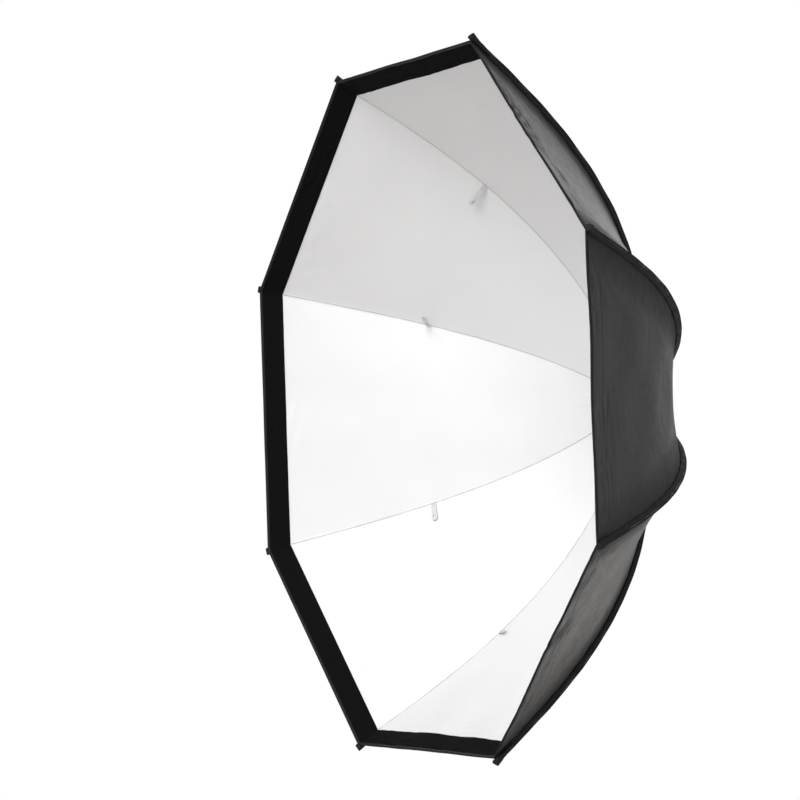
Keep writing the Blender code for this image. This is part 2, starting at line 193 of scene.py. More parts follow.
def wrinkles(panel, arc, across):
    """How far the cloth stands out from a smooth panel. across is -1 and 1 on the panel's two ribs."""
    x = across * half_chord(arc)
    to_rim = ROD_LENGTH - arc
    to_rib = half_chord(arc) - np.abs(x)
    middle = 1 - across**2
    slack = PANEL_SLACK.get(panel, 1.0)
    seed = 100 * panel
    near_rim = np.exp(-((to_rim / 0.11) ** 2))
    broad = 0.0022 * waves(seed, x, arc, 0.16, 0.42, 6) * middle
    patches = np.clip(0.4 + 0.9 * waves(seed + 1, x, arc, 0.10, 0.26, 6), 0.0, 1.0)
    drift = 0.020 * waves(seed + 2, x, arc, 0.09, 0.24, 5)
    rows = np.sin(2 * math.pi * (to_rim + drift) / 0.026)
    rows = rows + 0.6 * np.sin(2 * math.pi * (to_rim - 1.4 * drift) / 0.041)
    edge_creases = 0.0011 * slack * rows * patches * near_rim * middle
    corner = np.hypot(to_rib, to_rim)
    bearing = np.arctan2(to_rim, to_rib + 0.004)
    fan = np.sin(15 * bearing + 2.0 * waves(seed + 3, x, arc, 0.10, 0.30, 4) + panel * across)
    fading = np.exp(-corner / 0.15) * np.clip(corner / 0.04, 0, 1)
    corner_creases = 0.0024 * slack * fan * fading * middle * across**2
    pull = waves(seed + 4, 0 * x, arc + 0.02 * np.sign(across), 0.022, 0.060, 6)
    rib_puckers = 0.0007 * slack * pull * np.exp(-to_rib / 0.022) * np.clip(to_rib / 0.008, 0, 1)
    gathers = 0.0012 * np.sin(2 * math.pi * x / 0.016) * np.exp(-(arc - CANOPY_START) / 0.035) * middle
    line = to_rim - BAND_WIDTH
    pucker = waves(seed + 5, x, 0 * x, 0.020, 0.045, 6) * np.exp(-np.abs(line) / 0.012)
    sewn_line = middle**0.25 * (0.0005 * pucker - 0.0007 * np.exp(-((line / 0.0028) ** 2)))
    return broad + edge_creases + corner_creases + rib_puckers + gathers + sewn_line


def panel_point(panel, arc, across, inset=0.0):
    """Points of a panel's cloth, inset from its outer face, shape (..., 3)."""
    arc, across, inset = np.broadcast_arrays(arc, across, inset)
    arc = arc.astype(float)
    angle = rib_angle(panel) + HALF_PANEL
    outward = np.array([math.cos(angle), 0.0, math.sin(angle)])
    sideways = np.array([-math.sin(angle), 0.0, math.cos(angle)])
    lean = bow_angle(arc, ROD_LENGTH)
    forward = rod_at(arc)[1] + SLEEVE_OFFSET * np.sin(lean)
    share = np.clip((arc - CANOPY_START) / (ROD_LENGTH - CANOPY_START), 0.0, 1.0)
    sag = PANEL_SAG * np.sin(math.pi * share) * (1 - across**2)
    middle = seam_radius(arc) * math.cos(HALF_PANEL) - inset * np.cos(lean)
    fall = sag - wrinkles(panel, arc, across)
    side = across * middle * math.tan(HALF_PANEL)
    out = middle - fall * np.cos(lean)
    depth = HINGE_Y - forward - (inset + fall) * np.sin(lean)
    points = out[..., None] * outward + side[..., None] * sideways
    points[..., 1] = depth
    return points


def panel_normal(panel, arc, across, reach=0.0012):
    """The outward direction of a panel's cloth."""
    along = panel_point(panel, arc + reach, across) - panel_point(panel, arc - reach, across)
    sweep = reach / half_chord(arc)
    over = panel_point(panel, arc, across + sweep) - panel_point(panel, arc, across - sweep)
    normal = np.cross(over, along)
    return normal / np.linalg.norm(normal, axis=-1, keepdims=True)


def panel_before(rib):
    return rib - 1 if rib > 1 else RIB_COUNT


def rib_share(rib, arcs, columns, inset, reach=1.0):
    """A grid of points over a rib's share of the canopy: rows along the rod, columns across it.

    reach is how far each row goes from the rib toward the middle of the panels beside it."""
    rows = np.asarray(arcs, float)[:, None]
    reach = np.broadcast_to(reach, len(arcs))[:, None]
    low = 1.0 - reach * np.linspace(1.0, 0.0, columns + 1)[None, :]
    high = -1.0 + reach * np.linspace(0.0, 1.0, columns + 1)[None, 1:]
    before = panel_point(panel_before(rib), rows, low, inset)
    return np.concatenate([before, panel_point(rib, rows, high, inset)], axis=1)


# Meshes from grids of points.


def make_object(name, points, faces, uvs, sharp_angle=50):
    mesh = bpy.data.meshes.new(name)
    mesh.from_pydata([tuple(p) for p in points], [], faces)
    layer = mesh.uv_layers.new(name="cloth")
    layer.data.foreach_set("uv", np.asarray(uvs, np.float32).ravel())
    mesh.shade_smooth()
    mesh.set_sharp_from_angle(angle=math.radians(sharp_angle))
    obj = bpy.data.objects.new(name, mesh)
    bpy.context.scene.collection.objects.link(obj)
    return obj


def grid_sheet(name, outer, inner, uv):
    """A thin closed sheet between two grids of points, rows by columns, whose columns turn right-handed."""
    rows, columns = outer.shape[:2]
    count = rows * columns
    points = np.concatenate([outer.reshape(-1, 3), inner.reshape(-1, 3)])
    flat_uv = uv.reshape(-1, 2)
    index = np.arange(count).reshape(rows, columns)
    a, b, c, d = index[:-1, :-1], index[:-1, 1:], index[1:, 1:], index[1:, :-1]
    top = np.stack([a, b, c, d], axis=-1).reshape(-1, 4)
    bottom = np.stack([a, d, c, b], axis=-1).reshape(-1, 4) + count
    loop = np.concatenate([index[0, :], index[1:, -1], index[-1, -2::-1], index[-2:0:-1, 0]])
    following = np.roll(loop, -1)
    rim = np.stack([loop, loop + count, following + count, following], axis=-1)
    faces = np.concatenate([top, bottom, rim])
    obj = make_object(name, points, faces.tolist(), flat_uv[faces.ravel() % count])
    return obj


def smooth_across(obj, normals):
    """Sets the given normals on the wide faces' corners, so that the sheet shades on into its neighbour.

    normals maps a vertex to the direction that its top face has there; the bottom face has the reverse."""
    mesh = obj.data
    count = len(mesh.vertices) // 2
    custom = np.zeros((len(mesh.loops), 3))
    for polygon in mesh.polygons:
        for corner in polygon.loop_indices:
            vertex = mesh.loops[corner].vertex_index
            direction = normals.get(vertex % count)
            if direction is None or abs(polygon.normal @ Vector(direction)) < 0.8:
                continue
            custom[corner] = direction if polygon.normal @ Vector(direction) > 0 else -direction
    mesh.normals_split_custom_set(custom.tolist())


def loft(name, rings, sharp_angle=50):
    """A closed tube through rings of points, shape (rings, points, 3), with flat ends."""
    count, around = rings.shape[:2]
    points = rings.reshape(-1, 3)
    index = np.arange(count * around).reshape(count, around)
    turned = np.roll(index, -1, axis=1)
    sides = np.stack([index[:-1], turned[:-1], turned[1:], index[1:]], axis=-1).reshape(-1, 4)
    middle = rings.mean(axis=1)
    travel = np.concatenate([[0.0], np.cumsum(np.linalg.norm(np.diff(middle, axis=0), axis=1))])
    girth = np.linalg.norm(np.roll(rings, -1, axis=1) - rings, axis=2).mean(axis=0)
    about = np.concatenate([[0.0], np.cumsum(girth)])
    faces = sides.tolist()
    uvs = []
    for face_index in range(len(sides)):
        i, j = divmod(face_index, around)
        near, far = about[j], about[j + 1]
        uvs += [(near, travel[i]), (far, travel[i]), (far, travel[i + 1]), (near, travel[i + 1])]
    for ring, row in ((index[0][::-1], 0), (index[-1], -1)):
        faces.append(ring.tolist())
        uvs += [(0.0, travel[row])] * around
    obj = make_object(name, points, faces, uvs, sharp_angle)
    fix_direction(obj)
    return obj


def fix_direction(obj):
    """Turns the mesh's faces outward where they all point in."""
    mesh = obj.data
    bm = bmesh.new()
    bm.from_mesh(mesh)
    if bm.calc_volume(signed=True) < 0:
        bmesh.ops.reverse_faces(bm, faces=bm.faces)
        bm.to_mesh(mesh)
    bm.free()


# Materials.


WAVE_SCALE = 0.314159  # the Wave node's scale for stripes one metre apart


class Look:
    """A material with a Principled shader, and short ways to add nodes to it."""

    def __init__(self, name, roughness, **sockets):
        self.material = bpy.data.materials.new(name)
        self.material.use_nodes = True
        self.tree = self.material.node_tree
        self.shader = self.tree.nodes["Principled BSDF"]
        self.shader.inputs["Roughness"].default_value = roughness
        for socket, value in sockets.items():
            self.shader.inputs[socket.replace("_", " ")].default_value = value
        self.height = None

    def node(self, kind, settings=None, **inputs):
        made = self.tree.nodes.new("ShaderNode" + kind)
        for key, value in (settings or {}).items():
            setattr(made, key, value)
        for key, value in inputs.items():
            socket = made.inputs[int(key[1:])] if key[0] == "i" and key[1:].isdigit() else made.inputs[key]
            if isinstance(value, bpy.types.NodeSocket):
                self.tree.links.new(value, socket)
            else:
                socket.default_value = value
        return made

    def uv(self):
        return self.node("UVMap", {"uv_map": "cloth"}).outputs["UV"]

    def place(self):
        return self.node("TexCoord").outputs["Object"]

    def noise(self, coordinates, scale, detail=3.0, rough=0.55):
        made = self.node("TexNoise", Vector=coordinates, Scale=scale, Detail=detail, Roughness=rough)
        return made.outputs["Fac"]

    def maths(self, operation, first, second=0.0):
        return self.node("Math", {"operation": operation}, i0=first, i1=second).outputs[0]

    def ramp(self, value, low, high, to_low=0.0, to_high=1.0):
        made = self.node("MapRange", i0=value, i1=low, i2=high, i3=to_low, i4=to_high)
        return made.outputs[0]

    def stripes(self, coordinates, pitch, direction):
        """Sine stripes, 0 to 1, that many metres apart."""
        settings = {"bands_direction": direction, "wave_profile": "SIN"}
        return self.node("TexWave", settings, Vector=coordinates, Scale=WAVE_SCALE / pitch).outputs["Fac"]

    def mix(self, amount, first, second):
        made = self.node("Mix", {"data_type": "RGBA"}, i0=amount, i6=(*first, 1.0), i7=(*second, 1.0))
        return made.outputs[2]

    def mix_linked(self, amount, first, second):
        made = self.node("Mix", {"data_type": "RGBA"}, i0=amount, i6=first, i7=(*second, 1.0))
        return made.outputs[2]

    def colour(self, value):
        self.tree.links.new(value, self.shader.inputs["Base Color"])

    def roughness(self, value):
        self.tree.links.new(value, self.shader.inputs["Roughness"])

    def bump(self, height, distance, strength=1.0):
        """Adds a bump on top of any earlier one."""
        made = self.node("Bump", Height=height, Distance=distance, Strength=strength)
        if self.height is not None:
            self.tree.links.new(self.height, made.inputs["Normal"])
        self.height = made.outputs["Normal"]
        self.tree.links.new(self.height, self.shader.inputs["Normal"])


def tone(colour, factor):
    return tuple(min(channel * factor, 1.0) for channel in colour)


def woven(
    name, colour, pitch, depth, roughness, mottle=0.12, crumple=0.0002, ribbed=False, rubbed=0.0, **sockets
):
    """Plain or ribbed cloth. The weave follows the cloth's own UV map, in metres from the rib.

    rubbed is how much of the cloth's gloss has gone beside the rib."""
    look = Look(name, roughness, **sockets)
    uv = look.uv()
    warp = look.stripes(uv, pitch, "X")
    weft = look.stripes(uv, pitch * (2.2 if ribbed else 1.0), "Y")
    over_and_under = (look.maths("SUBTRACT", thread, 0.5) for thread in (warp, weft))
    lifted = look.maths("MULTIPLY", *over_and_under)
    weave = look.maths("MULTIPLY_ADD", lifted, 2.0)
    weave.node.inputs[2].default_value = 0.5
    patches = look.noise(uv, 9.0, 4.0)
    threads = look.noise(look.node("Mapping", Vector=uv, Scale=(900.0, 60.0, 1.0)).outputs[0], 1.0, 2.0)
    base = look.mix(look.ramp(patches, 0.3, 0.7), tone(colour, 1 - mottle), tone(colour, 1 + mottle))
    fleck = look.mix_linked(look.ramp(threads, 0.35, 0.65, 0.0, 0.30), base, tone(colour, 1 - 2 * mottle))
    # The weave's low points, the recesses between the threads, are painted darker: this is painted shade.
    look.colour(look.mix_linked(look.ramp(weave, 0.0, 0.35, 0.25, 0.0), fleck, tone(colour, 0.55)))
    gloss = look.ramp(look.noise(uv, 40.0, 4.0), 0.25, 0.75, roughness - 0.07, roughness + 0.07)
    if rubbed:
        from_rib = look.maths("ABSOLUTE", look.node("SeparateXYZ", Vector=uv).outputs["X"])
        gloss = look.maths("ADD", gloss, look.ramp(from_rib, 0.010, 0.075, rubbed, 0.0))
    look.roughness(gloss)
    if crumple:
        look.bump(look.noise(uv, 55.0, 5.0, 0.6), crumple)
    look.bump(weave, depth, 0.8)
    return look.material


def loop_pile(name, colour):
    """The soft side of hook-and-loop tape."""
    look = Look(name, 0.95, Specular_IOR_Level=0.08)
    uv = look.uv()
    fuzz = look.noise(uv, 900.0, 4.0, 0.7)
    nap = look.noise(look.node("Mapping", Vector=uv, Scale=(40.0, 220.0, 1.0)).outputs[0], 1.0, 3.0)
    look.colour(look.mix(look.ramp(fuzz, 0.35, 0.7), tone(colour, 0.6), tone(colour, 1.6)))
    look.bump(nap, 0.0003)
    look.bump(fuzz, 0.0006)
    return look.material


def painted_metal(name, colour, roughness, metallic, grain, wear=0.25, **sockets):
    """Metal with a fine surface grain, handling marks and edges worn brighter."""
    look = Look(name, roughness, Metallic=metallic, **sockets)
    place = look.place()
    marks = look.noise(place, 45.0, 5.0, 0.65)
    fine = look.noise(place, grain, 3.0)
    worn = look.ramp(look.node("NewGeometry").outputs["Pointiness"], 0.515, 0.56, 0.0, wear)
    base = look.mix(look.ramp(marks, 0.3, 0.7), tone(colour, 0.85), tone(colour, 1.15))
    look.colour(look.mix_linked(worn, base, tone(colour, 1.5 if metallic > 0.95 else 4.0)))
    look.roughness(look.ramp(marks, 0.3, 0.7, roughness - 0.06, roughness + 0.08))
    look.bump(fine, 0.00005, 0.5)
    return look.material


def turned_metal(name, colour, roughness):
    """Aluminium with the fine circles of a lathe round the light's axis."""
    look = Look(name, roughness, Metallic=1.0)
    place = look.place()
    rings = look.node(
        "TexWave",
        {"wave_type": "RINGS", "rings_direction": "Y", "wave_profile": "SIN"},
        Vector=place,
        Scale=WAVE_SCALE / 0.0006,
        Distortion=1.2,
        Detail=2.0,
    ).outputs["Fac"]
    marks = look.noise(place, 60.0, 5.0, 0.6)
    look.colour(look.mix(look.ramp(marks, 0.3, 0.7), tone(colour, 0.86), tone(colour, 1.1)))
    look.roughness(look.ramp(marks, 0.3, 0.75, roughness - 0.05, roughness + 0.10))
    look.bump(rings, 0.00003, 0.6)
    return look.material


def moulded_plastic(name, colour, roughness):
    look = Look(name, roughness, Specular_IOR_Level=0.5)
    place = look.place()
    spark = look.node("TexVoronoi", Vector=place, Scale=1400.0).outputs["Distance"]
    marks = look.noise(place, 70.0, 4.0, 0.6)
    worn = look.ramp(look.node("NewGeometry").outputs["Pointiness"], 0.52, 0.57, 0.0, 0.3)
    base = look.mix(look.ramp(marks, 0.3, 0.7), tone(colour, 0.85), tone(colour, 1.2))
    look.colour(look.mix_linked(worn, base, tone(colour, 2.2)))
    look.roughness(look.ramp(marks, 0.3, 0.7, roughness - 0.07, roughness + 0.08))
    look.bump(spark, 0.00006, 0.7)
    return look.material


def coated_rod(name):
    """A wound glass-fibre rod with a clear black coat."""
    look = Look(name, 0.32, Coat_Weight=0.4, Coat_Roughness=0.18)
    uv = look.uv()
    wound = look.noise(look.node("Mapping", Vector=uv, Scale=(500.0, 30.0, 1.0)).outputs[0], 1.0, 4.0)
    look.colour(look.mix(look.ramp(wound, 0.3, 0.7), (0.012, 0.012, 0.013), (0.045, 0.045, 0.048)))
    look.roughness(look.ramp(wound, 0.3, 0.7, 0.26, 0.42))
    look.bump(wound, 0.00004, 0.5)
    return look.material


def make_materials():
    black = (0.030, 0.030, 0.031)
    return {
        "shell": woven(
            "coated_nylon", (0.0155, 0.0152, 0.0155), 0.0011, 0.00006, 0.33, 0.10, 0.00018,
            rubbed=0.35, Sheen_Weight=0.02, Sheen_Roughness=0.30, Specular_IOR_Level=0.58,
        ),
        "lining": woven(
            "white_satin_nylon", (0.89, 0.888, 0.89), 0.0009, 0.00005, 0.55, 0.012, 0.00022,
            Sheen_Weight=0.08, Specular_IOR_Level=0.35,
        ),
        "backing": woven("black_backing", black, 0.0012, 0.00005, 0.80),
        "sleeve": woven(
            "sleeve_oxford", (0.0080, 0.0078, 0.0079), 0.0014, 0.00010, 0.62, 0.18, 0.00025,
            Specular_IOR_Level=0.28,
        ),
        "webbing": woven(
            "edge_webbing", (0.010, 0.0098, 0.0100), 0.0016, 0.00014, 0.62, 0.18, 0.0002, True,
            Specular_IOR_Level=0.30,
        ),
        "band": loop_pile("loop_tape", (0.0045, 0.0047, 0.0046)),
        "ribbon": woven(
            "white_ribbon", (0.70, 0.70, 0.70), 0.0008, 0.00010, 0.48, 0.03, 0.0001, True,
            Sheen_Weight=0.2, Specular_IOR_Level=0.4,
        ),
        # The seam cord's grey is painted shade, the shadow line of the seam's crevice on the white lining.
        "seam": woven("seam_shadow_cord", (0.56, 0.555, 0.55), 0.0010, 0.00012, 0.75, 0.25),
        "thread": woven("black_thread", (0.020, 0.020, 0.021), 0.0006, 0.00008, 0.6),
        "grey_thread": woven("grey_thread", (0.10, 0.10, 0.105), 0.0006, 0.00008, 0.6),
        "rod": coated_rod("rod_coat"),
        "black_metal": painted_metal("black_metal_coat", (0.022, 0.022, 0.024), 0.42, 0.9, 1800.0),
        "steel": painted_metal("bright_steel", (0.55, 0.55, 0.56), 0.28, 1.0, 2600.0, 0.15),
        "aluminium": turned_metal("turned_aluminium", (0.60, 0.61, 0.62), 0.35),
        "black_plastic": moulded_plastic("black_moulding", (0.020, 0.020, 0.021), 0.48),
        "red_plastic": moulded_plastic("red_moulding", (0.36, 0.020, 0.018), 0.40),
    }


def dress(obj, material):
    obj.data.materials.clear()
    obj.data.materials.append(material)


# The pieces of one rib's canopy.


def cloth_rows():
    """Distances along the rod at which the cloth has a row of points, closer near the front edge."""
    body = np.linspace(CANOPY_START, ROD_LENGTH - 0.085, 84)
    front = np.linspace(ROD_LENGTH - 0.085, ROD_LENGTH, 30)
    return np.concatenate([body, front[1:]])


def squash_with_fold(obj, rib):
    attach(obj, f"rib_{rib}")
    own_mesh(obj)


def share_uv(arcs, columns, reach=1.0):
    """The flat cut's own coordinates in metres: across it and along it."""
    arcs = np.asarray(arcs, float)
    steps = np.linspace(-1.0, 1.0, 2 * columns + 1)
    across = (reach * half_chord(arcs))[:, None] * steps[None, :]
    along = np.broadcast_to(arcs[:, None], across.shape)
    return np.stack([across, along], axis=-1)


def sewn_share(name, rib, arcs, columns, layer):
    """One layer of a rib's share of the canopy, which shades smoothly on into its neighbours."""
    outer = rib_share(rib, arcs, columns, layer[0])
    inner = rib_share(rib, arcs, columns, layer[1])
    obj = grid_sheet(name, outer, inner, share_uv(arcs, columns))
    row_ends = {0: panel_before(rib), 2 * columns: rib}
    normals = {}
    for column, panel in row_ends.items():
        directions = panel_normal(panel, np.asarray(arcs, float), np.zeros(len(arcs)))
        for row, direction in enumerate(directions):
            normals[row * (2 * columns + 1) + column] = direction
    smooth_across(obj, normals)
    return obj


def make_cloth(rib, looks):
    arcs = cloth_rows()
    columns = 36
    shell = sewn_share(f"canopy_shell_{rib}", rib, arcs, columns, SHELL_LAYER)
    dress(shell, looks["shell"])
    lining = sewn_share(f"canopy_lining_{rib}", rib, arcs, columns, LINING_LAYER)
    dress(lining, looks["lining"])
    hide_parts(f"canopy_panel_{rib}")
    for piece in (shell, lining):
        squash_with_fold(piece, rib)
    make_backing(f"rear_backing_{rib}", rib, looks, 0.024, 0.30, REAR_KEEP)
    make_backing(f"middle_backing_{rib}", rib, looks, 0.25, 0.60, MIDDLE_KEEP)


def make_backing(name, rib, looks, start, end, keep):
    """A stiff sheet under the shell, as wide as the folded rods leave room for."""
    arcs = np.linspace(start, end, 30)
    reach = backing_reach(arcs, keep)
    columns = 14
    outer = rib_share(rib, arcs, columns, BACKING_LAYER[0], reach)
    inner = rib_share(rib, arcs, columns, BACKING_LAYER[1], reach)
    backing = grid_sheet(name, outer, inner, share_uv(arcs, columns, reach))
    dress(backing, looks["backing"])
    squash_with_fold(backing, rib)


def make_mouth_band(rib, looks):
    """Hook-and-loop tape sewn inside the front edge, which holds a front diffuser."""
    arcs = ROD_LENGTH - np.linspace(BAND_WIDTH, 0.0015, 16)
    columns = 36
    outer = rib_share(rib, arcs, columns, BAND_LAYER[0])
    bevel = np.minimum(1.0, np.minimum(arcs - arcs[0], arcs[-1] - arcs) / 0.002 + 0.35)
    depth = BAND_LAYER[0] + (BAND_LAYER[1] - BAND_LAYER[0]) * bevel[:, None]
    inner = rib_share(rib, arcs, columns, depth)
    band = grid_sheet(f"mouth_band_{rib}", outer, inner, share_uv(arcs, columns))
    dress(band, looks["band"])
    squash_with_fold(band, rib)


def edge_binding(name, rib, middle_arc, half_arc, middle_inset, half_inset, columns, power=0.6):
    """A folded tape round an edge of the cloth, from mid-panel to mid-panel, with a blunt oval section."""
    turns = np.linspace(0, 2 * math.pi, 16, endpoint=False)
    along = np.sign(np.cos(turns)) * np.abs(np.cos(turns)) ** power
    into = np.sign(np.sin(turns)) * np.abs(np.sin(turns)) ** power
    arcs = middle_arc + half_arc * along
    insets = middle_inset + half_inset * into
    rings = []
    for panel, steps in (
        (panel_before(rib), np.linspace(0.0, 1.0, columns + 1)),
        (rib, np.linspace(-1.0, 0.0, columns + 1)[1:]),
    ):
        for across in steps:
            rings.append(panel_point(panel, arcs, np.full(16, across), insets))
    return loft(name, np.array(rings))


def make_bindings(rib, looks):
    front = edge_binding(f"front_binding_{rib}", rib, ROD_LENGTH - 0.0024, 0.0034, 0.0013, 0.0020, 44)
    rear = edge_binding(f"rear_hem_{rib}", rib, CANOPY_START + 0.0040, 0.0050, 0.0008, 0.0013, 16)
    for piece, keep in ((front, CLOTH_KEEP), (rear, REAR_KEEP)):
        dress(piece, looks["webbing"])
        squash_with_fold(piece, rib)


def cloth_drop(sideways, arc):
    """How far the cloth's outer face lies below the rod's centreline, that far sideways from the rib."""
    lean = bow_angle(arc, ROD_LENGTH)
    flatness = np.cos(lean) ** 2 * math.cos(HALF_PANEL) + np.sin(lean) ** 2
    steep = np.cos(lean) * math.sin(HALF_PANEL) / flatness
    return -SLEEVE_OFFSET - np.abs(sideways) * steep


def make_sleeve(rib, looks):
    """The sewn channel that the rod runs through, slightly loose between its ends."""
    arcs = np.linspace(SLEEVE_START, ROD_LENGTH - 0.006, 150)
    steps = np.linspace(-1.0, 1.0, 19)
    x = arcs - SLEEVE_START
    ends = np.clip(x / 0.03, 0, 1) * np.clip((arcs[-1] - arcs) / 0.02 + 0.5, 0, 1)
    loose = 0.5 * (1 + waves(40 + rib, x, 0 * x, 0.05, 0.11, 7)) * ends
    wander = waves(60 + rib, x, 0 * x, 0.022, 0.07, 7)
    width = SLEEVE_HALF_WIDTH * (1 + 0.07 * wander) * np.clip(0.55 + x / 0.05, 0, 1)
    top = ROD_RADIUS + 0.0007 + 0.0010 * loose
    sideways = width[:, None] * steps[None, :]
    rise = 1 - np.abs(steps) ** 1.25
    rise = rise * (1 - 0.10 * np.sin(math.pi * np.abs(steps)))
    rise = np.where(np.abs(steps) < 0.2, 1 - 0.35 * steps**2 / 0.2 * 1.4, rise)
    base = cloth_drop(sideways, arcs[:, None]) + 0.0002
    crown = (top + SLEEVE_OFFSET)[:, None]
    fold = 0.0008 * waves(80 + rib, x[:, None] + 0 * sideways, 3 * sideways, 0.03, 0.08, 8)
    on_slopes = (1 - steps**2) * np.abs(steps)
    height = base + crown * rise[None, :] + 0.0009 + fold * on_slopes[None, :]
    outer = around_rod(rib, arcs[:, None], sideways, height)
    inner = around_rod(rib, arcs[:, None], sideways * 0.995, height - 0.0007)
    uv = np.stack([sideways, np.broadcast_to(arcs[:, None], sideways.shape)], axis=-1)
    sleeve = grid_sheet(f"rod_sleeve_{rib}", outer, inner, uv)
    dress(sleeve, looks["sleeve"])
    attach(sleeve, f"rib_{rib}")
    return arcs, width


def make_corner_pocket(rib, looks):
    """The pocket at the rim's corner that the rod's tip pushes into, which stands up like an ear."""
    x = np.concatenate([np.linspace(-0.052, 0.0035, 26), [0.0048, 0.0053]])
    arcs = ROD_LENGTH + x
    marks = [-0.052, -0.046, -0.025, -0.010, 0.0042, 0.0053]
    half = np.interp(x, marks, [0.0060, 0.0078, 0.0084, 0.0084, 0.0080, 0.0072])
    high = np.interp(x, marks, [0.0034, 0.0044, 0.0052, 0.0066, 0.0088, 0.0084])
    low = np.interp(x, marks, [0.0055, 0.0061, 0.0061, 0.0060, 0.0056, 0.0050])
    half = half * (1 + 0.04 * waves(20 + rib, x, 0 * x, 0.02, 0.05, 5))
    turns = np.linspace(0, 2 * math.pi, 32, endpoint=False)
    flat = np.sign(np.cos(turns)) * np.abs(np.cos(turns)) ** 0.9
    tall = np.sign(np.sin(turns)) * np.abs(np.sin(turns)) ** 1.35
    sideways = half[:, None] * flat[None, :] * (1 - 0.35 * np.clip(tall, 0, 1)[None, :])
    height = np.where(tall[None, :] > 0, high[:, None] * tall[None, :], low[:, None] * tall[None, :])
    height = height + (cloth_drop(sideways, arcs[:, None]) + SLEEVE_OFFSET) * 0.9
    creases = waves(30 + rib, x[:, None] + 0 * sideways, sideways, 0.010, 0.030, 6)
    height = height + 0.0005 * creases * np.clip(tall, 0, 1)[None, :]
    rings = around_rod(rib, arcs[:, None], sideways, height)
    pocket = loft(f"corner_pocket_{rib}", rings)
    dress(pocket, looks["webbing"])
    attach(pocket, f"rib_{rib}")


def make_rod(rib, looks):
    arcs = np.linspace(ROD_START, ROD_LENGTH - ROD_SHORT_OF_CORNER, 130)
    turns = np.linspace(0, 2 * math.pi, 14, endpoint=False)
    sideways = ROD_RADIUS * np.cos(turns)[None, :]
    height = ROD_RADIUS * np.sin(turns)[None, :]
    rings = around_rod(rib, arcs[:, None], sideways, height)
    rod = loft(f"spring_rod_{rib}", rings)
    dress(rod, looks["rod"])
    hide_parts(f"rod_{rib}")
    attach(rod, f"rib_{rib}")


def make_painted_seam_shadow(rib, looks):
    """The seam along the rib inside the canopy, drawn as a thin grey cord. The cord's grey is painted
    shade: the shadow line in the crevice between the lining panels.
    """
    arcs = np.linspace(CANOPY_START + 0.009, ROD_LENGTH - BAND_WIDTH + 0.002, 160)
    turns = np.linspace(0, 2 * math.pi, 10, endpoint=False)
    sideways = 0.0009 * np.cos(turns)[None, :]
    wander = 0.0003 * waves(500 + rib, arcs, 0 * arcs, 0.012, 0.04, 6)
    height = -SLEEVE_OFFSET - LINING_LAYER[1] - 0.0004 + 0.0008 * np.sin(turns)[None, :] + wander[:, None]
    rings = around_rod(rib, arcs[:, None], sideways + wander[:, None], height)
    seam = loft(f"painted_seam_shadow_{rib}", rings)
    dress(seam, looks["seam"])
    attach(seam, f"rib_{rib}")


def make_ribbon(rib, looks):
    """A diffuser tab: ribbon folded double, sewn to the seam, with a press stud near its end."""
    arc = ROD_LENGTH - TAB_FROM_RIM
    lean = float(bow_angle(arc, ROD_LENGTH))
    outward, along_hinge, backward = (Vector(v) for v in rib_directions(rib))
    inward = -math.cos(lean) * outward - math.sin(lean) * backward
    rod_way = math.sin(lean) * outward - math.cos(lean) * backward
    root = Vector(around_rod(rib, np.array(arc), np.array(0.0), np.array(-SLEEVE_OFFSET - LINING_LAYER[1])))
    swing = math.radians(TAB_SWINGS[rib - 1])
    centres, ups, sides = [], [], []
    point = root.copy()
    rows = 27
    step = (TAB_LENGTH - 0.001) / (rows - 1)
    for row in range(rows):
        turn = swing * (0.8 + 0.4 * row / (rows - 1))
        way = math.cos(turn) * inward + math.sin(turn) * along_hinge
        flat = way.cross(rod_way).normalized()
        side = flat.cross(way).normalized()
        centres.append(np.array(point))
        ups.append(np.array(flat))
        sides.append(np.array(side))
        point = point + way * step
    share = np.linspace(0, 1, rows)
    near_end = np.clip((share - (1 - TAB_WIDTH / 2 / TAB_LENGTH)) / (TAB_WIDTH / 2 / TAB_LENGTH), 0, 0.985)
    half = TAB_WIDTH / 2 * np.sqrt(1 - near_end**2)
    steps = np.linspace(-1, 1, 9)
    centres, ups, sides = np.array(centres), np.array(ups), np.array(sides)
    curl = 0.0004 * (steps**2)[None, :, None] * ups[:, None, :]
    middle = centres[:, None, :] + (half[:, None] * steps[None, :])[..., None] * sides[:, None, :] + curl
    thick = (0.0005 - 0.0001 * np.abs(steps) ** 4)[None, :, None] * ups[:, None, :]
    travel = np.broadcast_to(share[:, None] * TAB_LENGTH, (rows, len(steps)))
    uv = np.stack([half[:, None] * steps[None, :], travel], axis=-1)
    ribbon = grid_sheet(f"diffuser_ribbon_{rib}", middle + thick, middle - thick, uv)
    fix_direction(ribbon)
    dress(ribbon, looks["ribbon"])
    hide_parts(f"diffuser_tab_{rib}")
    stud = make_stud(f"ribbon_stud_{rib}", centres[-6], ups[-6])
    dress(stud, looks["steel"])
    stitches = box_stitch(f"ribbon_stitch_{rib}", centres, sides, ups, half)
    dress(stitches, looks["grey_thread"])
    for piece in (ribbon, stud, stitches):
        squash_with_fold(piece, rib)
    flat = (TAB_WIDTH, TAB_LENGTH)


def make_stud(name, centre, up):
    """A two-sided press stud: a domed cap on each face of the ribbon."""
    radii = [0.0002, 0.0012, 0.0020, 0.0026, 0.0034, 0.0038]
    heights = [0.0022, 0.0021, 0.0016, 0.0016, 0.0012, 0.0005]
    profile = list(zip(radii, heights))
    profile = profile + [(radius, -height) for radius, height in profile[::-1]]
    turns = np.linspace(0, 2 * math.pi, 20, endpoint=False)
    up = up / np.linalg.norm(up)
    side = np.cross(up, [0.3, 0.5, 0.8])
    side = side / np.linalg.norm(side)
    over = np.cross(up, side)
    circle = np.cos(turns)[:, None] * side + np.sin(turns)[:, None] * over
    rings = [centre + radius * circle + height * up for radius, height in profile]
    return loft(name, np.array(rings), sharp_angle=35)


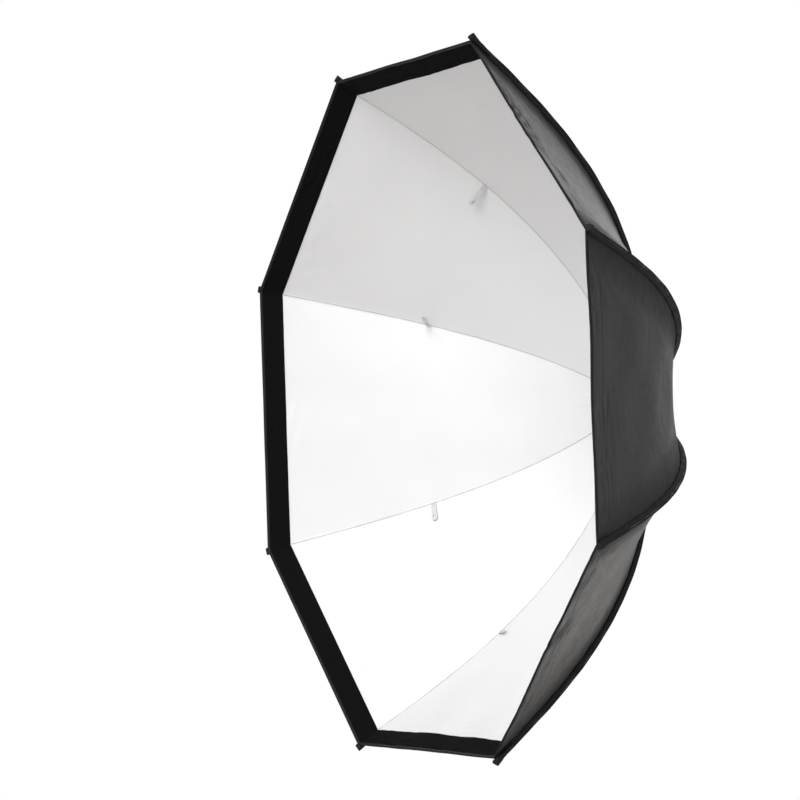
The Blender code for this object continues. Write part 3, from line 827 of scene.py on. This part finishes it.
def stitch_object(name, runs, length=0.0027, pitch=0.0042, radius=0.00028):
    """Dashes of thread along runs of (points, directions out of the cloth)."""
    points, faces, uvs = [], [], []
    for line, outs in runs:
        travel = np.concatenate([[0.0], np.cumsum(np.linalg.norm(np.diff(line, axis=0), axis=1))])
        for start in np.arange(pitch / 2, travel[-1] - length, pitch):
            at = np.array([start, start + length * 0.25, start + length * 0.75, start + length])
            place = np.stack([np.interp(at, travel, line[:, k]) for k in range(3)], axis=1)
            out = np.array([np.interp(start, travel, outs[:, k]) for k in range(3)])
            out = out / np.linalg.norm(out)
            ahead = place[-1] - place[0]
            side = np.cross(ahead / np.linalg.norm(ahead), out)
            lift = np.array([-0.4, 0.6, 0.6, -0.4]) * radius
            first = len(points)
            for k, thick in enumerate((0.35, 1.0, 1.0, 0.35)):
                for across, above in ((1, 0), (0, 1), (-1, 0), (0, -1)):
                    offset = out * (lift[k] + above * thick * radius) + side * across * thick * radius
                    points.append(place[k] + offset)
            for k in range(3):
                for m in range(4):
                    a, b = first + 4 * k + m, first + 4 * k + (m + 1) % 4
                    faces.append([a, b, b + 4, a + 4])
                    near, far = m * 0.0004, (m + 1) * 0.0004
                    uvs += [(near, at[k]), (far, at[k]), (far, at[k + 1]), (near, at[k + 1])]
            faces.append([first + 3, first + 2, first + 1, first])
            faces.append([first + 12, first + 13, first + 14, first + 15])
            uvs += [(0.0, at[0])] * 8
    obj = make_object(name, np.array(points), faces, uvs, 80)
    fix_direction(obj)
    return obj


def box_stitch(name, centres, sides, ups, half):
    """The rows of thread that hold a ribbon's sewn end, on both of its faces."""
    runs = []
    for face in (1, -1):
        for row in (2, 5):
            across = np.linspace(-0.85, 0.85, 12)[:, None] * half[row] * sides[row]
            line = centres[row] + across + face * 0.0006 * ups[row]
            runs.append((line, np.repeat(face * ups[row][None, :], 12, axis=0)))
    return stitch_object(name, runs, length=0.0018, pitch=0.0026, radius=0.00030)


def make_stitching(rib, looks, sleeve_arcs, sleeve_width):
    """The thread along the sleeve's edges, and the two rows round the front edge."""
    side_runs = []
    for side in (-1, 1):
        sideways = side * (sleeve_width - 0.0022)
        share = 1 - np.abs(sideways / sleeve_width) ** 1.25
        height = cloth_drop(sideways, sleeve_arcs) + 0.0013 + (SLEEVE_OFFSET + ROD_RADIUS + 0.0010) * share
        line = around_rod(rib, sleeve_arcs, sideways, height)
        out = around_rod(rib, sleeve_arcs, sideways + side * 0.0004, height + 0.001) - line
        side_runs.append((line, out))
    sleeve_thread = stitch_object(f"sleeve_stitching_{rib}", side_runs)
    dress(sleeve_thread, looks["grey_thread"])
    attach(sleeve_thread, f"rib_{rib}")
    edge_runs = []
    halves = ((panel_before(rib), np.linspace(0.002, 0.93, 90)), (rib, np.linspace(-0.93, -0.002, 90)))
    for panel, steps in halves:
        for from_rim in (BAND_WIDTH, 0.0115):
            arcs = np.full(len(steps), ROD_LENGTH - from_rim)
            line = panel_point(panel, arcs, steps, -0.0001)
            edge_runs.append((line, panel_normal(panel, arcs, steps)))
    edge_thread = stitch_object(f"edge_stitching_{rib}", edge_runs)
    dress(edge_thread, looks["grey_thread"])
    squash_with_fold(edge_thread, rib)


def dress_frame(looks):
    """Finishes for the frame's own pieces, with their edges softened."""
    finishes = {
        "bayonet_adaptor": looks["aluminium"],
        "retaining_ring": looks["black_metal"],
        "speed_ring": looks["black_metal"],
        "rotation_lock_knob": looks["black_plastic"],
        "rod_holder": looks["black_metal"],
        "hinge_pin": looks["steel"],
        "rod_tip": looks["black_plastic"],
        "release_catch": looks["red_plastic"],
        "canopy_panel": looks["shell"],
        "diffuser_tab": looks["ribbon"],
        "rod": looks["rod"],
    }
    for name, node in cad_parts.items():
        family = name.rstrip("0123456789").rstrip("_")
        node.data.materials.clear()
        node.data.materials.append(finishes[family])
        weld = node.modifiers.new("weld", "WELD")
        weld.merge_threshold = 0.00002
        bevel = node.modifiers.new("bevel", "BEVEL")
        bevel.width = 0.0003
        bevel.segments = 2
        bevel.limit_method = "ANGLE"
        bevel.angle_limit = math.radians(40)


def make_object_pieces(looks):
    for rib in range(1, RIB_COUNT + 1):
        make_cloth(rib, looks)
        make_mouth_band(rib, looks)
        make_bindings(rib, looks)
        sleeve_arcs, sleeve_width = make_sleeve(rib, looks)
        make_corner_pocket(rib, looks)
        make_rod(rib, looks)
        make_painted_seam_shadow(rib, looks)
        make_ribbon(rib, looks)
        make_stitching(rib, looks, sleeve_arcs, sleeve_width)


# The studio.

# Azimuth, elevation and roll in degrees, then the camera's place from the mouth's centre in its own axes.
CAMERA_ANGLES = (62.06, -2.22, -1.88)
CAMERA_RIGHT, CAMERA_UP, CAMERA_BACK = -0.0246, 0.0102, 6.303
CAMERA_LENS = 141.3

FLOOR_Z = -1.55
FLOOR_RADIUS = 6.5
AMBIENT = 0.31
KEY_STRENGTH = 2.36
KEY_SPREAD = 45.0
KEY_FROM = (0.60, -0.80, 0.64)
BACKDROP_WAY = (-0.82, 0.44, 0.36)  # where the white surround is brightest
BACKDROP_EDGE = (0.86, 0.97)  # the cosines between which it brightens
BACKDROP_STRENGTH = 0.98


def make_stage():
    """A pale floor that brightens into the white surround towards its edge."""
    look = Look("pale_floor", 0.9, Specular_IOR_Level=0.1)
    place = look.place()
    distance = look.node("VectorMath", {"operation": "LENGTH"}, i0=place).outputs["Value"]
    look.colour(look.mix(look.noise(place, 1.5), (0.62, 0.600, 0.585), (0.64, 0.620, 0.605)))
    look.shader.inputs["Emission Color"].default_value = (1.0, 0.98, 0.965, 1.0)
    glow = look.ramp(distance, 0.5 * FLOOR_RADIUS, 0.97 * FLOOR_RADIUS, 0.0, 0.62)
    look.tree.links.new(glow, look.shader.inputs["Emission Strength"])
    turns = np.linspace(0, 2 * math.pi, 97)[:-1]
    radii = np.array([0.01, 1.0, 2.0, 3.0, 4.0, 5.0, FLOOR_RADIUS])[:, None]
    rings = np.stack([radii * np.cos(turns), radii * np.sin(turns), np.full((7, 96), FLOOR_Z)], axis=-1)
    floor = loft("floor", np.concatenate([rings, rings[::-1] - (0.0, 0.0, 0.02)]))
    floor.data.materials.append(look.material)


def make_lights():
    """Soft light from above the mouth's near side, and a white surround."""
    world = bpy.data.worlds.new("studio")
    bpy.context.scene.world = world
    world.use_nodes = True
    tree = world.node_tree
    background = tree.nodes["Background"]
    background.inputs["Color"].default_value = (1.0, 1.0, 1.0, 1.0)
    seen = tree.nodes.new("ShaderNodeLightPath")
    strength = tree.nodes.new("ShaderNodeMapRange")
    strength.inputs["To Max"].default_value = 1.0
    tree.links.new(seen.outputs["Is Camera Ray"], strength.inputs["Value"])
    toward = tree.nodes.new("ShaderNodeVectorMath")
    toward.operation = "DOT_PRODUCT"
    toward.inputs[1].default_value = BACKDROP_WAY
    tree.links.new(tree.nodes.new("ShaderNodeTexCoord").outputs["Generated"], toward.inputs[0])
    backdrop = tree.nodes.new("ShaderNodeMapRange")
    backdrop.interpolation_type = "SMOOTHSTEP"
    backdrop.inputs["From Min"].default_value = BACKDROP_EDGE[0]
    backdrop.inputs["From Max"].default_value = BACKDROP_EDGE[1]
    backdrop.inputs["To Min"].default_value = AMBIENT
    backdrop.inputs["To Max"].default_value = BACKDROP_STRENGTH
    tree.links.new(toward.outputs["Value"], backdrop.inputs["Value"])
    tree.links.new(backdrop.outputs["Result"], strength.inputs["To Min"])
    tree.links.new(strength.outputs["Result"], background.inputs["Strength"])
    light = bpy.data.lights.new("soft_key", "SUN")
    light.energy = KEY_STRENGTH
    light.angle = math.radians(KEY_SPREAD)
    key = bpy.data.objects.new("soft_key", light)
    bpy.context.scene.collection.objects.link(key)
    key.rotation_euler = (-Vector(KEY_FROM)).to_track_quat("-Z", "Y").to_euler()


def make_camera():
    """The view: its direction and roll, with the mouth's centre a little off the picture's middle."""
    azimuth, elevation, roll = (math.radians(v) for v in CAMERA_ANGLES)
    mouth = Vector((0.0, float(HINGE_Y - rod_at(ROD_LENGTH)[1] - SLEEVE_OFFSET * math.sin(RIM_ANGLE)), 0.0))
    right = Vector((math.cos(azimuth), math.sin(azimuth), 0.0))
    ahead = Vector((math.sin(azimuth), -math.cos(azimuth), 0.0))
    back = math.cos(elevation) * ahead + math.sin(elevation) * Vector((0.0, 0.0, 1.0))
    up = back.cross(right)
    right, up = (
        math.cos(roll) * right + math.sin(roll) * up,
        -math.sin(roll) * right + math.cos(roll) * up,
    )
    camera = bpy.data.cameras.new("camera")
    camera.sensor_width = 36.0
    camera.lens = CAMERA_LENS
    camera.clip_end = 300.0
    obj = bpy.data.objects.new("camera", camera)
    bpy.context.scene.collection.objects.link(obj)
    place = mouth + CAMERA_RIGHT * right + CAMERA_UP * up + CAMERA_BACK * back
    obj.matrix_world = Matrix.Translation(place) @ Matrix((right, up, back)).transposed().to_4x4()
    bpy.context.scene.camera = obj


looks = make_materials()
dress_frame(looks)
make_object_pieces(looks)
make_stage()
make_lights()
make_camera()
bpy.context.scene.view_settings.view_transform = "Standard"
bpy.context.view_layer.update()
